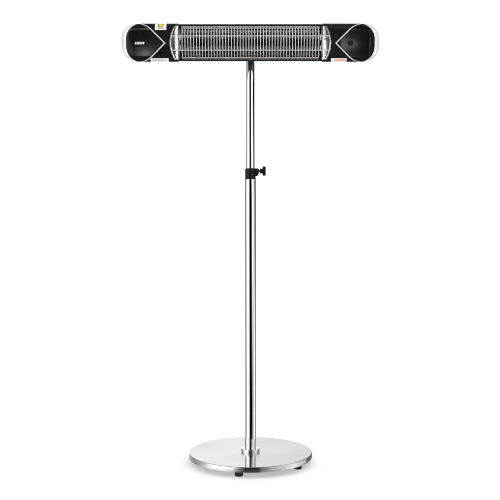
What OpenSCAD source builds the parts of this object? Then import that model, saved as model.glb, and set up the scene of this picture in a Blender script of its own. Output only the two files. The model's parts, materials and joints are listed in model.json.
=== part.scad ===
// Free-standing infrared patio heater.
// A round weighted base carries a telescopic mast. A knob in the plastic
// collar clamps the sliding tube. The heater head tilts on a bracket at the
// top of the mast. Two quartz tubes lie in a twin-trough reflector behind a
// bowed wire grille.
// Millimetres and degrees. +Z is up and the front faces -Y. The origin is on
// the floor, on the axis of the mast.

/* [Base] */
// Diameter of the base disc
base_d = 432; // [400:2:480]
// Height of the base disc without its feet
base_h = 18; // [16:1:24]
// Diameter of each rubber foot
foot_d = 29; // [22:1:30]
// Height of each rubber foot
foot_h = 19; // [12:1:22]
// Diameter of the trim ring around the mast
ring_d = 66; // [56:1:90]
// Height of the trim ring
ring_h = 11; // [8:1:16]

/* [Mast] */
// Height of the lower tube's top edge above the floor
lower_top = 994; // [900:1:1050]
// Outside diameter of the lower tube
lower_d = 38; // [38:1:42]
// Outside diameter of the sliding tube
upper_d = 30; // [28:0.5:30]
// Length of the sliding tube
upper_len = 900; // [860:5:950]
// Wall of both tubes
tube_wall = 1.5; // [1:0.25:2]
// Height of the collar above the lower tube
collar_h = 38; // [34:1:44]
// Diameter of the clamping knob
clamp_knob_d = 35; // [30:1:38]

/* [Head] */
// Height of the tilt pivot above the floor
pivot_z = 1472; // [1420:1:1500]
// Downward tilt of the head as built
head_tilt = 12; // [-8:0.5:38]
// Length of the head
head_len = 880; // [860:2:960]
// Height of the head
head_h = 128; // [126:1:132]
// Depth of the head
head_d = 95; // [95:1:100]
// Distance of the teardrop inserts' tips from the middle
tip_u = 286; // [284:1:292]

/* [Window] */
// Distance of the window's curved ends from the middle
window_u = 275; // [272:1:276]
// Distance of the reflector's end walls from the middle
trough_u = 237; // [236:1:240]
// Number of upright grille wires
wire_count = 48; // [24:1:50]
// Diameter of the grille wires
wire_d = 2.6; // [2:0.1:2.8]
// Diameter of the quartz tubes
lamp_d = 11; // [9:0.5:12]

/* [Hidden] */
$fn = 96;
eps = 0.01;
fit = 0.05;

// Base
base_r = base_d / 2;
base_wall = 2;
base_edge_r = 3;
base_top = foot_h + base_h;
plate_t = 1.5;
foot_count = 5;
foot_circle_r = base_r - 29;
foot_first_angle = -11.8;
foot_screw_d = 5;
bolt_d = 12;
socket_h = 32;
bolt_hole_d = bolt_d + 1;
bolt_pocket_d = 34;
bolt_pocket_h = 3;
foot_recess_d = 11;
foot_recess_h = 7;

// Mast
lower_bore = lower_d - 2 * tube_wall;
upper_bore = upper_d - 2 * tube_wall;
slide_gap = 0.15;
spigot_len = 60;
collar_top = lower_top + collar_h;
clamp_z = collar_top - 9.5;
rivet_z = lower_top - 18;
boss_x = 30;
boss_w = 22;
boss_h = 28;
stud_d = 8;
pad_x = upper_d / 2 + 0.3;
pad_len = 3;
nut_len = 9.5;
knob_hub_x = boss_x + 3.6;
knob_head_x = knob_hub_x + 10.1;
knob_t = 10.2;
mast_top = pivot_z - 24;
mast_foot = mast_top - upper_len;
bush_len = 40;
clip_t = 2;
mast_rivet_drops = [15, 35];

// Tilt joint
pivot_y = -30;
pivot_d = 8;
knuckle_w = 24;
knuckle_r = 13;
head_reach = 67;
ear_gap = 0.3;
ear_t = 3;
ear_x = knuckle_w / 2 + ear_gap + ear_t;
bracket_w = 90;
bracket_h = 72;
bracket_bolt_u = 36;
bracket_bolt_w = 26;
tilt_washer_t = 1.7;
tilt_knob_d = 35;
tilt_knob_x = ear_x + tilt_washer_t + 0.2;

// Head: u runs to the right, v to the back and w up, from the head's centre.
half_h = head_h / 2;
half_d = head_d / 2;
half_len = head_len / 2;
front_r = 20;
rear_r = 30;
front_flat = half_h - front_r;
end_r = 58;
end_w = half_h - end_r + 0.5;
plan_r = 40;
end_flat = 0.2;
plan_v = half_d - plan_r + 0.5;
cap_u = 370;
cap_wall = 4;
insert_t = 2.2;
rim_w = 5.4;
drop_r = half_h;
drop_c = tip_u + drop_r * sqrt(2);
insert_end = 19;
cover_t = 2;
cover_u = 245;
skirt_v = 12;
housing_t = 1.5;
housing_u = 368;
housing_front = -40;
housing_upper_front = -36;
housing_step_u = 282;
rear_v = half_d - cover_t;
shoulder_v = -half_d + front_r + 1.6;
port_v = 5;
port_w = half_h - 7.5;
port_d = 9;
cap_screw_u = 396;
cover_screw_u = 274;
cover_screw_angle = 68;

// Window, reflector and grille
window_r = 104;
trough_r = 30;
trough_v = -25;
trough_w = 26;
reflector_t = 1;
reflector_flange = 54;
slope_v = -23;
slope_rise = 18.5;
slope_t = 1.2;
end_half_w = 57;
end_wall_v = 9;
shield_v = 18;
shield_t = 0.8;
shield_w = 50;
lamp_v = -12;
lamp_w = 17.5;
lamp_u = 256;
ceramic_u = trough_u + 0.1;
ceramic_len = 21;
bow_r = 95;
bow_v = -49 + bow_r;
bow_half_angle = 37;
grille_span = 460.6;
wire_pitch = grille_span / (wire_count - 1);
bar_r = bow_r - wire_d - fit;
inner_bar_w = 24.2;
outer_bar_w = 51;
rail_angle = 36;

// Controls and marks
button_u = 337.5;
button_d = 12.4;
button_travel = 1.5;
board_u = button_u + 8;
board_v = -28;
badge_u = -373.5;
gland_u = 120;
gland_w = -12;
gland_bore = 9;
gland_hole_d = 16;
terminal_u = 290;
terminal_d = 18;
terminal_w = 24;
terminal_pitch = 12;

// ---------- helpers ----------

// Extrudes a (y, z) outline along X from x0 to x1.
module along_x(x0, x1) {
    translate([x0, 0, 0]) rotate([90, 0, 90]) linear_extrude(x1 - x0) children();
}

// Extrudes an (x, z) outline along Y from y0 to y1.
module along_y(y0, y1) {
    translate([0, y1, 0]) rotate([90, 0, 0]) linear_extrude(y1 - y0) children();
}

// Round bar along X from x0 to x1.
module rod_x(x0, x1, d) {
    translate([x0, 0, 0]) rotate([0, 90, 0]) cylinder(d = d, h = x1 - x0);
}

// Round bar along Y from y0 to y1.
module rod_y(y0, y1, d) {
    translate([0, y0, 0]) rotate([-90, 0, 0]) cylinder(d = d, h = y1 - y0);
}

// Round bar along Z from z0 to z1.
module rod_z(z0, z1, d) {
    translate([0, 0, z0]) cylinder(d = d, h = z1 - z0);
}

// Tube along Z from z0 to z1.
module pipe_z(z0, z1, d_out, d_in) {
    difference() {
        rod_z(z0, z1, d_out);
        rod_z(z0 - 1, z1 + 1, d_in);
    }
}

// Rectangle with round corners, centred on the origin.
module rounded_plate(w, h, r) {
    square([w - 2 * r, h], center = true);
    square([w, h - 2 * r], center = true);
    for (x = [-1, 1], y = [-1, 1]) {
        translate([x * (w / 2 - r), y * (h / 2 - r)]) circle(r);
    }
}

// Half profile of a disc of radius r and height h with a round upper edge.
module disc_profile(r, h, edge) {
    square([r - edge, h]);
    square([r, h - edge]);
    translate([r - edge, h - edge]) circle(edge);
}

// Lobed outline of a hand knob.
module knob_outline(d, lobes) {
    lobe_r = d * 0.13;
    circle(d = d * 0.86);
    for (i = [0 : lobes - 1]) {
        rotate(i * 360 / lobes) translate([d / 2 - lobe_r, 0]) circle(lobe_r);
    }
}

// Draws its children on the left and on the right of the head.
module both_sides() {
    children();
    mirror([1, 0, 0]) children();
}

// Places the head's own axes at the head's centre.
module on_head() {
    translate([0, pivot_y, pivot_z]) rotate([head_tilt, 0, 0]) translate([0, -head_reach, 0]) children();
}

// Places the origin on the tilt pivot, turned with the head.
module on_pivot() {
    translate([0, pivot_y, pivot_z]) rotate([head_tilt, 0, 0]) children();
}

// ---------- base ----------

module base_cover() {
    color("silver") translate([0, 0, foot_h]) difference() {
        rotate_extrude() difference() {
            disc_profile(base_r, base_h, base_edge_r);
            square([base_r - base_wall, base_h - base_wall]);
        }
        rod_z(0, base_h + 1, bolt_hole_d);
    }
}

module base_weight() {
    bottom = foot_h + plate_t;
    top = base_top - base_wall;
    color("dimgray") difference() {
        rod_z(bottom, top, base_d - 2 * base_wall - 1);
        rod_z(bottom - 1, top + 1, bolt_hole_d);
        rod_z(bottom - 1, top - bolt_pocket_h, bolt_pocket_d);
        for (i = [1 : foot_count]) {
            at_foot(i) rod_z(bottom - 1, bottom + 9, foot_screw_d + 0.2);
        }
    }
}

module base_plate() {
    color("black") difference() {
        rod_z(foot_h, foot_h + plate_t, base_d - 2 * base_wall - 1);
        rod_z(foot_h - 1, foot_h + plate_t + 1, bolt_pocket_d + 2);
        for (i = [1 : foot_count]) {
            at_foot(i) rod_z(foot_h - 1, foot_h + plate_t + 1, foot_screw_d + 0.4);
        }
    }
}

module at_foot(i) {
    angle = foot_first_angle + (i - 1) * 360 / foot_count;
    translate([foot_circle_r * sin(angle), -foot_circle_r * cos(angle), 0]) children();
}

module foot(i) {
    color("black") at_foot(i) difference() {
        rotate_extrude() polygon([
            [0, 0], [foot_d / 2 - 2.5, 0], [foot_d / 2 - 1.5, 1], [foot_d / 2, foot_h], [0, foot_h]
        ]);
        rod_z(-1, foot_recess_h, foot_recess_d);
        rod_z(-1, foot_h + 1, foot_screw_d + 0.2);
    }
}

module foot_screws() {
    color("silver") for (i = [1 : foot_count]) {
        at_foot(i) {
            rod_z(foot_recess_h - 3, foot_recess_h, foot_recess_d - 2);
            rod_z(foot_recess_h, foot_h + plate_t + 8, foot_screw_d);
        }
    }
}

module base_ring() {
    color("gainsboro") translate([0, 0, base_top]) difference() {
        rotate_extrude() disc_profile(ring_d / 2, ring_h, 4);
        rod_z(-1, ring_h + 1, lower_d + 0.2);
    }
}

module tube_socket() {
    color("gray") pipe_z(base_top, base_top + socket_h, lower_bore - 2 * fit, bolt_d + 2 * fit);
}

module base_washer() {
    top = base_top - base_wall - bolt_pocket_h;
    color("silver") pipe_z(top - 2, top, 28, bolt_d + 2 * fit);
}

module base_bolt() {
    seat = base_top - base_wall - bolt_pocket_h - 2;
    color("silver") {
        translate([0, 0, seat - 7.5]) cylinder(d = 21.9, h = 7.5, $fn = 6);
        rod_z(seat, base_top + socket_h - 4, bolt_d);
    }
}

// ---------- mast ----------

module lower_tube() {
    color("gainsboro") difference() {
        pipe_z(base_top, lower_top, lower_d, lower_bore);
        translate([0, 0, rivet_z]) rod_y(0, lower_d, 3.4);
    }
}

module collar() {
    color("black") difference() {
        union() {
            translate([0, 0, lower_top]) rotate_extrude() disc_profile(lower_d / 2, collar_h, 3);
            rod_z(lower_top - spigot_len, lower_top + 1, lower_bore - 2 * fit);
            along_y(-boss_w / 2, boss_w / 2) polygon([
                [0, collar_top - 1.5], [boss_x - 1.5, collar_top - 1.5], [boss_x, collar_top - 3],
                [boss_x, collar_top - boss_h + 6], [lower_d / 2 - 1, collar_top - boss_h],
                [0, collar_top - boss_h]
            ]);
        }
        rod_z(lower_top - spigot_len - 1, collar_top + 1, upper_d + 2 * slide_gap);
        translate([0, 0, clamp_z]) rod_x(0, boss_x + 1, stud_d + 0.4);
        translate([0, 0, clamp_z]) rod_x(boss_x - nut_len, boss_x + 1, 12 + 2 * fit);
        translate([0, 0, rivet_z]) rod_y(0, lower_d, 2.6);
    }
}

module collar_nut() {
    color("gold") translate([0, 0, clamp_z]) difference() {
        rod_x(boss_x - nut_len, boss_x, 12);
        rod_x(boss_x - nut_len - 1, boss_x + 1, stud_d + 0.1);
    }
}

module collar_rivet() {
    color("silver") translate([0, 0, rivet_z]) {
        rod_y(upper_d / 2 + 0.6, lower_d / 2, 2.5);
        rod_y(lower_d / 2, lower_d / 2 + 1.4, 6);
    }
}

module clamp_pad() {
    color("gold") translate([0, 0, clamp_z]) rod_x(pad_x, pad_x + pad_len, stud_d - 0.1);
}

module clamp_stud() {
    color("silver") translate([0, 0, clamp_z]) rod_x(pad_x + pad_len + 0.1, knob_head_x + 2, stud_d);
}

module clamp_knob() {
    color("black") translate([0, 0, clamp_z]) difference() {
        union() {
            rod_x(knob_hub_x, knob_head_x, 20);
            along_x(knob_head_x - 1, knob_head_x + knob_t) knob_outline(clamp_knob_d, 7);
        }
        rod_x(knob_hub_x - 1, knob_head_x + 2.2, stud_d + 2 * fit);
    }
}

module mast_bush() {
    color("dimgray") pipe_z(mast_foot + clip_t + 1, mast_foot + clip_t + bush_len,
                            lower_bore - 0.5, upper_d + 0.12);
}

module mast_clips() {
    color("silver") {
        pipe_z(mast_foot + 0.8, mast_foot + 0.8 + clip_t, upper_d + 3, upper_d + fit);
        pipe_z(mast_foot + clip_t + bush_len + 0.2, mast_foot + 2 * clip_t + bush_len + 0.2,
               upper_d + 3, upper_d + fit);
    }
}

module upper_tube() {
    color("gainsboro") difference() {
        pipe_z(mast_foot, mast_top, upper_d, upper_bore);
        for (z = mast_rivet_drops) {
            translate([0, 0, mast_top - z]) rod_y(0, upper_d, 4.2);
        }
    }
}

module mast_head() {
    color("black") difference() {
        union() {
            rod_z(mast_top - 50, mast_top + 1, upper_bore - 2 * fit);
            rod_z(mast_top, mast_top + 4, upper_d);
            along_x(-knuckle_w / 2, knuckle_w / 2) {
                translate([-knuckle_r, mast_top + 3]) square([2 * knuckle_r, pivot_z - mast_top - 3]);
                translate([0, pivot_z]) circle(knuckle_r);
                translate([pivot_y, pivot_z - knuckle_r]) square([-pivot_y, 2 * knuckle_r]);
                translate([pivot_y, pivot_z]) circle(knuckle_r);
            }
        }
        translate([0, pivot_y, pivot_z]) rod_x(-knuckle_w, knuckle_w, pivot_d + 0.15);
        for (z = mast_rivet_drops) {
            translate([0, 0, mast_top - z]) rod_y(4, upper_d, 4.2);
        }
    }
}

module mast_rivets() {
    color("silver") for (z = mast_rivet_drops) {
        translate([0, 0, mast_top - z]) {
            rod_y(5, upper_d / 2, 4);
            rod_y(upper_d / 2, upper_d / 2 + 1.6, 7);
        }
    }
}

// ---------- tilt joint ----------

module head_bracket() {
    back = rear_v - head_reach;
    color("black") on_pivot() difference() {
        union() {
            along_y(back, back + ear_t) rounded_plate(bracket_w, bracket_h, 8);
            for (side = [-1, 1]) {
                x0 = side > 0 ? ear_x - ear_t : -ear_x;
                along_x(x0, x0 + ear_t) {
                    circle(knuckle_r);
                    translate([back + 1, -knuckle_r]) square([-back - 1, 2 * knuckle_r]);
                }
            }
        }
        rod_x(-bracket_w, bracket_w, pivot_d + 0.06);
        translate([0, -head_reach, 0]) at_bracket_bolts() rod_y(rear_v - 1, rear_v + 10, 5.5);
    }
}

module at_bracket_bolts() {
    for (u = [-1, 1], w = [-1, 1]) {
        translate([u * bracket_bolt_u, 0, w * bracket_bolt_w]) children();
    }
}

module bracket_bolts() {
    color("silver") on_head() at_bracket_bolts() {
        rod_y(rear_v - 12, rear_v + ear_t, 5);
        rod_y(rear_v + ear_t, rear_v + ear_t + 3.2, 9.5);
    }
}

module bracket_nuts() {
    color("silver") on_head() at_bracket_bolts() difference() {
        translate([0, rear_v - housing_t - 4, 0]) rotate([-90, 0, 0]) cylinder(d = 9.2, h = 4, $fn = 6);
        rod_y(rear_v - 10, rear_v, 5 + 2 * fit);
    }
}

module tilt_bolt() {
    color("silver") on_pivot() {
        translate([-ear_x - 5.3, 0, 0]) rotate([0, 90, 0]) cylinder(d = 14.4, h = 5.3, $fn = 6);
        rod_x(-ear_x, tilt_knob_x + 16, pivot_d);
    }
}

module tilt_washer() {
    color("silver") on_pivot() difference() {
        rod_x(ear_x + 0.1, ear_x + 0.1 + tilt_washer_t, 18);
        rod_x(ear_x - 1, ear_x + 5, pivot_d + 0.15);
    }
}

module tilt_knob() {
    hub = 9;
    head_t = 13;
    bore_t = 17.5;
    color("black") on_pivot() difference() {
        union() {
            rod_x(tilt_knob_x, tilt_knob_x + hub, 20);
            along_x(tilt_knob_x + hub - 1, tilt_knob_x + hub + head_t) knob_outline(tilt_knob_d, 6);
        }
        rod_x(tilt_knob_x - 1, tilt_knob_x + bore_t, pivot_d + 0.15);
    }
}

// ---------- head shell ----------

// Cross-section of the head, in (v, w), set in by a distance.
module section(inset) {
    v0 = -half_d + front_r;
    v1 = half_d - rear_r;
    translate([v0, -half_h + inset]) square([v1 - v0, head_h - 2 * inset]);
    translate([-half_d + inset, -front_flat]) square([front_r, 2 * front_flat]);
    translate([v1, -half_h + rear_r]) square([rear_r - inset, head_h - 2 * rear_r]);
    for (side = [-1, 1]) {
        translate([v0, side * front_flat]) circle(front_r - inset);
        translate([v1, side * (half_h - rear_r)]) circle(rear_r - inset);
    }
}

// Cross-section without the part in front of v0.
module open_section(inset, v0) {
    intersection() {
        section(inset);
        translate([v0, -head_h]) square([head_d, 2 * head_h]);
    }
}

// Outline of an end seen from the front or from above, with round corners of
// radius r whose centres are w to either side of the middle.
module end_outline(inset, r, w) {
    u = half_len - r;
    translate([u - 120, -w - r + inset]) square([120, 2 * (w + r - inset)]);
    translate([u, -w]) square([r - inset, 2 * w]);
    for (side = [-1, 1]) {
        translate([u, side * w]) circle(r - inset);
    }
}

// Solid end of the head from u0 outwards, set in by a distance. It is cut flat
// just short of the outlines' highest points.
module end_solid(inset, u0) {
    intersection() {
        along_x(u0, half_len - inset - end_flat) section(inset);
        along_y(-half_d - 1, half_d + 1) end_outline(inset, end_r, end_w);
        translate([0, 0, -half_h - 1]) linear_extrude(head_h + 2) end_outline(inset, plan_r, plan_v);
    }
}

// Front view of the teardrop, with its tip moved outwards by a distance.
module teardrop(shift) {
    k = drop_r / sqrt(2);
    translate([shift, 0]) {
        polygon([[tip_u, 0], [drop_c - k, k], [drop_c + 1, 0], [drop_c - k, -k]]);
        translate([drop_c, 0]) circle(drop_r);
        translate([drop_c, -half_h - 1]) square([half_len - drop_c, head_h + 2]);
    }
}

// Front view of the black insert, which the cap's rim surrounds.
module insert_outline(gap) {
    r = end_r - gap;
    u = half_len - insert_end - end_r;
    w = 9;
    intersection() {
        teardrop(rim_w + gap);
        union() {
            translate([tip_u, -half_h - 1]) square([u - tip_u, head_h + 2]);
            translate([u, -w]) square([r, 2 * w]);
            for (side = [-1, 1]) {
                translate([u, side * w]) circle(r);
            }
        }
    }
}

// Open-fronted shell whose lower lip reaches further forward than the upper one.
module rear_housing() {
    color("#26272a") on_head() difference() {
        union() {
            along_x(-housing_u, housing_u) difference() {
                open_section(cover_t, housing_front);
                section(cover_t + housing_t);
            }
            for (side = [-1, 1]) {
                translate([0, port_v, side * port_w]) rod_x(-housing_u, housing_u, port_d);
            }
        }
        for (side = [-1, 1]) {
            translate([0, port_v, side * port_w]) rod_x(-head_len, head_len, 4.2);
        }
        translate([-housing_u, -half_d, 0]) cube([2 * housing_u, half_d + housing_upper_front, head_h]);
        at_bracket_bolts() rod_y(half_d - 5, half_d + 5, 5.5);
        translate([gland_u, 0, gland_w]) rod_y(half_d - 5, half_d + 5, gland_hole_d);
        both_sides() {
            at_cover_screws() rod_z(-5, 1, 3.2);
            translate([housing_step_u, -half_d, -half_h]) cube([head_len, shoulder_v + half_d, head_h]);
        }
    }
}

module end_plate() {
    color("gray") difference() {
        along_x(housing_u, cap_u) open_section(cover_t, shoulder_v);
        for (side = [-1, 1]) {
            translate([0, port_v, side * port_w]) rod_x(housing_u - 1, cap_u + 1, 4.6);
        }
        rod_x(housing_u - 1, cap_u + 1, 30);
    }
}

// Two screws on one side of the head, on its upper and lower front edges.
module at_cover_screws() {
    for (side = [-1, 1]) {
        translate([cover_screw_u, front_r - half_d, side * front_flat])
            rotate([90 - side * cover_screw_angle, 0, 0]) translate([0, 0, front_r]) children();
    }
}

module cover_screws() {
    color("silver") on_head() both_sides() at_cover_screws() {
        rod_z(0, 1, 6);
        rod_z(-4, 0, 3);
    }
}

module front_cover() {
    color("#1e1f21") difference() {
        along_x(cover_u, cap_u) difference() {
            section(0);
            section(cover_t);
            translate([skirt_v, -head_h]) square([head_d, 2 * head_h]);
        }
        along_y(-half_d - 1, -half_d + front_r + 2) teardrop(-0.3);
        along_y(-half_d - 1, -half_d + front_r + 2) translate([window_u - window_r, 0]) circle(window_r);
        at_cover_screws() rod_z(-5, 1, 3.2);
    }
}

// An end cap, with the posts and the hole for the controls if it holds them.
module end_cap(controls) {
    color("whitesmoke") difference() {
        union() {
            difference() {
                end_solid(0, tip_u - 5);
                end_solid(cap_wall, tip_u - 6);
            }
            for (side = [-1, 1]) {
                translate([0, port_v, side * port_w]) rod_x(cap_u, cap_screw_u + 4, 10);
            }
            if (controls) {
                for (u = [-19, 19], w = [-16, 16]) {
                    translate([board_u + u, 0, w]) rod_y(-half_d + insert_t + 1, board_v, 5);
                }
            }
        }
        cap_cutaway();
        insert_pocket();
        for (side = [-1, 1]) {
            translate([0, port_v, side * port_w]) {
                rod_x(cap_u - 1, head_len, 4.4);
                rod_x(cap_screw_u, head_len, 8.4);
            }
        }
        if (controls) {
            translate([button_u, 0, 0]) rod_y(-head_d, 0, button_d + 0.8);
        }
    }
}

// What the cap leaves open: all of the head's middle, apart from the teardrop
// that lies over its front.
module cap_cutaway() {
    v0 = -half_d + front_r + 1.5;
    translate([0, v0, -head_h]) cube([cap_u, head_d, 2 * head_h]);
    along_y(-half_d - 1, v0 + eps) difference() {
        translate([0, -head_h]) square([cap_u, 2 * head_h]);
        teardrop(0);
    }
}

module insert_pocket() {
    difference() {
        along_y(-half_d - 1, -half_d + front_r) insert_outline(0);
        end_solid(insert_t, tip_u - 6);
    }
}

// A teardrop insert, with the button's hole if it is the controls' side.
module insert(controls) {
    v1 = -half_d + front_r - 0.1;
    color("#101112") difference() {
        end_solid(0, tip_u - 5);
        end_solid(insert_t - fit, tip_u - 6);
        translate([0, v1, -head_h]) cube([head_len, head_d, 2 * head_h]);
        along_y(-half_d - 1, v1 + eps) difference() {
            translate([0, -head_h]) square([head_len, 2 * head_h]);
            insert_outline(0.15);
        }
        if (controls) {
            translate([button_u, 0, 0]) rod_y(-head_d, 0, button_d + 0.6);
        }
    }
}

module cap_screws() {
    color("silver") on_head() both_sides() for (side = [-1, 1]) {
        translate([0, port_v, side * port_w]) {
            rod_x(cap_screw_u - 44, cap_screw_u, 4);
            rod_x(cap_screw_u, cap_screw_u + 3.2, 7.6);
        }
    }
}

module badge() {
    color("silver") on_head() translate([badge_u, 0, 0]) along_y(-half_d - 0.8, -half_d) {
        rounded_plate(37, 11, 3);
    }
}

// A label that wraps an edge of the head from the height w0 outwards.
module edge_label(u0, u1, side, w0) {
    along_x(u0, u1) intersection() {
        difference() {
            section(-0.25);
            section(-0.02);
        }
        translate([-half_d - 1, side > 0 ? w0 : -half_h - 1]) square([26, half_h + 1 - w0]);
    }
}

module labels() {
    color("white") on_head() {
        edge_label(-321, -283, 1, 43.5);
        edge_label(-334, -277, -1, 51);
        edge_label(277, 330, -1, 51);
    }
}

// ---------- reflector, lamps and grille ----------

module trough_half(side) {
    intersection() {
        translate([trough_v, side * trough_w]) difference() {
            circle(trough_r + reflector_t);
            circle(trough_r);
        }
        translate([-14, side > 0 ? 0 : -head_h]) square([head_d, head_h]);
    }
    translate([-26, side > 0 ? reflector_flange : -reflector_flange - reflector_t])
        square([12.5, reflector_t]);
}

module reflector() {
    color("gainsboro") on_head() along_x(-trough_u + 1.2, trough_u - 1.2) {
        trough_half(1);
        trough_half(-1);
    }
}

module reflector_end() {
    front = slope_v - slope_rise;
    color("gainsboro") {
        intersection() {
            translate([0, 0, -half_h]) linear_extrude(head_h) polygon([
                [trough_u - 1, slope_v], [window_u, front], [window_u, front + slope_t],
                [trough_u, slope_v + slope_t], [trough_u - 1, slope_v + slope_t]
            ]);
            along_y(-half_d, 0) intersection() {
                translate([window_u - window_r, 0]) circle(window_r - 1);
                translate([0, -end_half_w]) square([head_len, 2 * end_half_w]);
            }
        }
        difference() {
            translate([trough_u - 1, slope_v + 1, -end_half_w])
                cube([1, end_wall_v - slope_v - 1, 2 * end_half_w]);
            for (side = [-1, 1]) {
                translate([0, lamp_v, side * lamp_w]) rod_x(0, head_len, lamp_d + 3);
                translate([0, port_v, side * port_w]) rod_x(0, head_len, port_d + 0.6);
            }
        }
    }
}

// Flat sheet behind the reflector, with a lip along its upper and lower edges.
module heat_shield() {
    lip = 6.5;
    color("silver") on_head() along_x(-trough_u, trough_u) {
        translate([shield_v, -shield_w]) square([shield_t, 2 * shield_w]);
        for (side = [-1, 1]) {
            edge_w = side > 0 ? shield_w - shield_t : -shield_w;
            translate([shield_v + 0.5 - lip, edge_w]) square([lip, shield_t]);
        }
    }
}

module lamp(side) {
    color([0.85, 0.88, 0.9, 0.5]) on_head() translate([0, lamp_v, side * lamp_w]) difference() {
        rod_x(-lamp_u, lamp_u, lamp_d);
        rod_x(-lamp_u - 1, lamp_u + 1, lamp_d - 2);
    }
}

module filaments() {
    color("dimgray") on_head() for (side = [-1, 1]) {
        translate([0, lamp_v, side * lamp_w]) rod_x(-trough_u, trough_u, 3);
    }
}

module lamp_holders() {
    color("white") on_head() both_sides() for (side = [-1, 1]) {
        translate([0, lamp_v, side * lamp_w]) difference() {
            along_x(ceramic_u, ceramic_u + ceramic_len) rounded_plate(19, 19, 3);
            rod_x(ceramic_u - 1, lamp_u + 0.1, lamp_d + 0.3);
            rod_x(lamp_u - 1, head_len, 3);
        }
    }
}

module grille_wires() {
    color("ivory") on_head() for (i = [0 : wire_count - 1]) {
        translate([(i - (wire_count - 1) / 2) * wire_pitch, bow_v, 0])
            rotate([90, 0, 90]) rotate([0, 0, 180 - bow_half_angle])
            rotate_extrude(angle = 2 * bow_half_angle) translate([bow_r, 0]) circle(d = wire_d);
    }
}

// A bar along the grille, behind its upright wires, at an angle on the bow.
module grille_bar(angle, half) {
    translate([0, bow_v - bar_r * cos(angle), bar_r * sin(angle)]) rod_x(-half, half, wire_d);
}

module grille_bars() {
    inner = asin(inner_bar_w / bow_r);
    outer = asin(outer_bar_w / bow_r);
    grille_half = grille_span / 2 + 3;
    color("ivory") on_head() for (side = [-1, 1]) {
        grille_bar(side * inner, window_u - 6.5);
        grille_bar(side * outer, grille_half);
        grille_bar(side * rail_angle, grille_half);
    }
}

// ---------- electrics ----------

// Four-pole terminal block on the inside of the housing's back.
module terminal_block() {
    poles = 4;
    rear = rear_v - housing_t;
    color("ivory") on_head() difference() {
        translate([terminal_u, rear - terminal_d, -terminal_w / 2])
            cube([poles * terminal_pitch, terminal_d, terminal_w]);
        for (i = [0 : poles - 1]) {
            translate([terminal_u + (i + 0.5) * terminal_pitch, 0, 0]) {
                rod_y(0, rear - 6, 4);
                translate([0, rear - 11, 0]) rod_z(-terminal_w, terminal_w, 3.5);
            }
        }
    }
}

// Circuit board with a relay, a transformer and a capacitor on its back.
module control_board() {
    board_t = 1.6;
    board_back = board_v + board_t;
    color("darkgreen") on_head() {
        along_y(board_v, board_back) translate([board_u, 0]) rounded_plate(50, 44, 2);
        translate([button_u + 14, board_back, -14]) cube([16, 15, 20]);
        translate([button_u - 14, board_back, -18]) cube([20, 10, 12]);
        translate([button_u - 8, board_back, 10]) rod_y(0, 12, 8);
    }
}

module power_button() {
    face = -half_d - 1;
    color("#2b2c2e") on_head() translate([button_u, 0, 0]) {
        rotate([-90, 0, 0]) translate([0, 0, face]) rotate_extrude() union() {
            translate([0, 1]) square([button_d / 2, 3]);
            square([button_d / 2 - 1, 1.5]);
            translate([button_d / 2 - 1, 1]) circle(1);
        }
        rod_y(face + 3, -36.7 - button_travel, 5);
    }
}

module button_spring() {
    color("silver") on_head() translate([button_u, 0, 0]) difference() {
        rod_y(-half_d + 5.2, -37.2, 10);
        rod_y(-half_d, -30, 8);
    }
}

module button_switch() {
    color("black") on_head() translate([button_u, 0, 0]) {
        translate([-6, -36, -6]) cube([12, board_v + 36, 12]);
        rod_y(-36.6, -35.5, 4);
    }
}

// Cord gland: hexagons on both sides of the housing, and a domed nut with the bore.
module cable_gland() {
    hex_d = 24;
    dome_r = 9.5;
    color("black") on_head() translate([gland_u, rear_v, gland_w]) difference() {
        union() {
            rod_y(-12, 1, gland_hole_d - 0.2);
            rotate([-90, 0, 0]) cylinder(d = hex_d, h = 5, $fn = 6);
            rotate([-90, 0, 0]) rotate_extrude() disc_profile(dome_r, 17, 4);
            translate([0, -6, 0]) rotate([-90, 0, 0]) cylinder(d = hex_d, h = 4.5, $fn = 6);
        }
        rod_y(-20, 30, gland_bore);
    }
}

// ---------- parts ----------

base_cover();
base_weight();
base_plate();
foot(1);  // foot_1
foot(2);  // foot_2
foot(3);  // foot_3
foot(4);  // foot_4
foot(5);  // foot_5
foot_screws();
base_ring();
tube_socket();
base_bolt();
base_washer();
lower_tube();
collar();
collar_nut();
collar_rivet();
clamp_pad();
clamp_knob();
clamp_stud();
mast_bush();
mast_clips();
upper_tube();
mast_head();
mast_rivets();
head_bracket();
bracket_bolts();
bracket_nuts();
tilt_bolt();
tilt_washer();
tilt_knob();
rear_housing();
on_head() mirror([1, 0, 0]) end_plate();  // end_plate_left
on_head() end_plate();  // end_plate_right
on_head() mirror([1, 0, 0]) front_cover();  // front_cover_left
on_head() front_cover();  // front_cover_right
cover_screws();
on_head() mirror([1, 0, 0]) end_cap(false);  // end_cap_left
on_head() end_cap(true);  // end_cap_right
cap_screws();
on_head() mirror([1, 0, 0]) insert(false);  // insert_left
on_head() insert(true);  // insert_right
badge();
labels();
reflector();
on_head() mirror([1, 0, 0]) reflector_end();  // reflector_end_left
on_head() reflector_end();  // reflector_end_right
heat_shield();
lamp(1);  // lamp_upper
lamp(-1);  // lamp_lower
filaments();
lamp_holders();
grille_wires();
grille_bars();
terminal_block();
control_board();
power_button();
button_spring();
button_switch();
cable_gland();
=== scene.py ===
import json
import math

import bmesh
import bpy
import numpy as np
from mathutils import Matrix, Vector
from mathutils.geometry import delaunay_2d_cdt


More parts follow.
